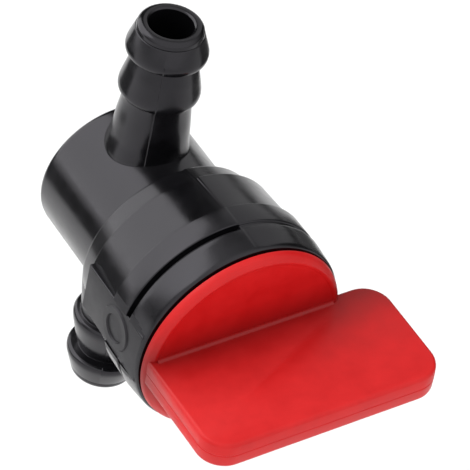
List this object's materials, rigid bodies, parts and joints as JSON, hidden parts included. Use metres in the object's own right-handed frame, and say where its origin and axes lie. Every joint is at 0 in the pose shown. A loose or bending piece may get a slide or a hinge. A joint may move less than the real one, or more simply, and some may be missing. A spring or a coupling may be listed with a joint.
{
  "type": "in-line fuel shut-off valve",
  "caption": "Small moulded in-line quarter-turn valve with hose barbs on one line and a paddle knob on a stepped round housing across it.",
  "frame": {"origin": "the crossing of the flow axis through both hose barbs and the spindle axis", "axes": "+Z along the flow axis out of the inlet barb, -Y along the spindle axis out towards the knob, +X to the right seen from the knob"},
  "size_m": [0.0258, 0.0381, 0.0459],
  "materials": {
    "body_plastic": "semi-gloss black moulding",
    "knob_plastic": "satin red moulding",
    "spindle_plastic": "natural acetal",
    "washer_plastic": "natural nylon",
    "seal_rubber": "fuel-resistant rubber"
  },
  "bodies": {
    "valve": {"valve_body": "body_plastic", "thrust_washer": "washer_plastic", "inlet_seat": "seal_rubber", "outlet_seat": "seal_rubber"},
    "handle": {"knob": "knob_plastic", "spindle": "spindle_plastic", "spindle_seal_inner": "seal_rubber", "spindle_seal_outer": "seal_rubber"}
  },
  "joints": [
    {"name": "knob_turn", "type": "hinge", "parent": "valve", "child": "handle", "pos_m": [0, -0.015, 0], "axis": [0, -1, 0], "range_deg": [-3.5, 86.5]}
  ]
}
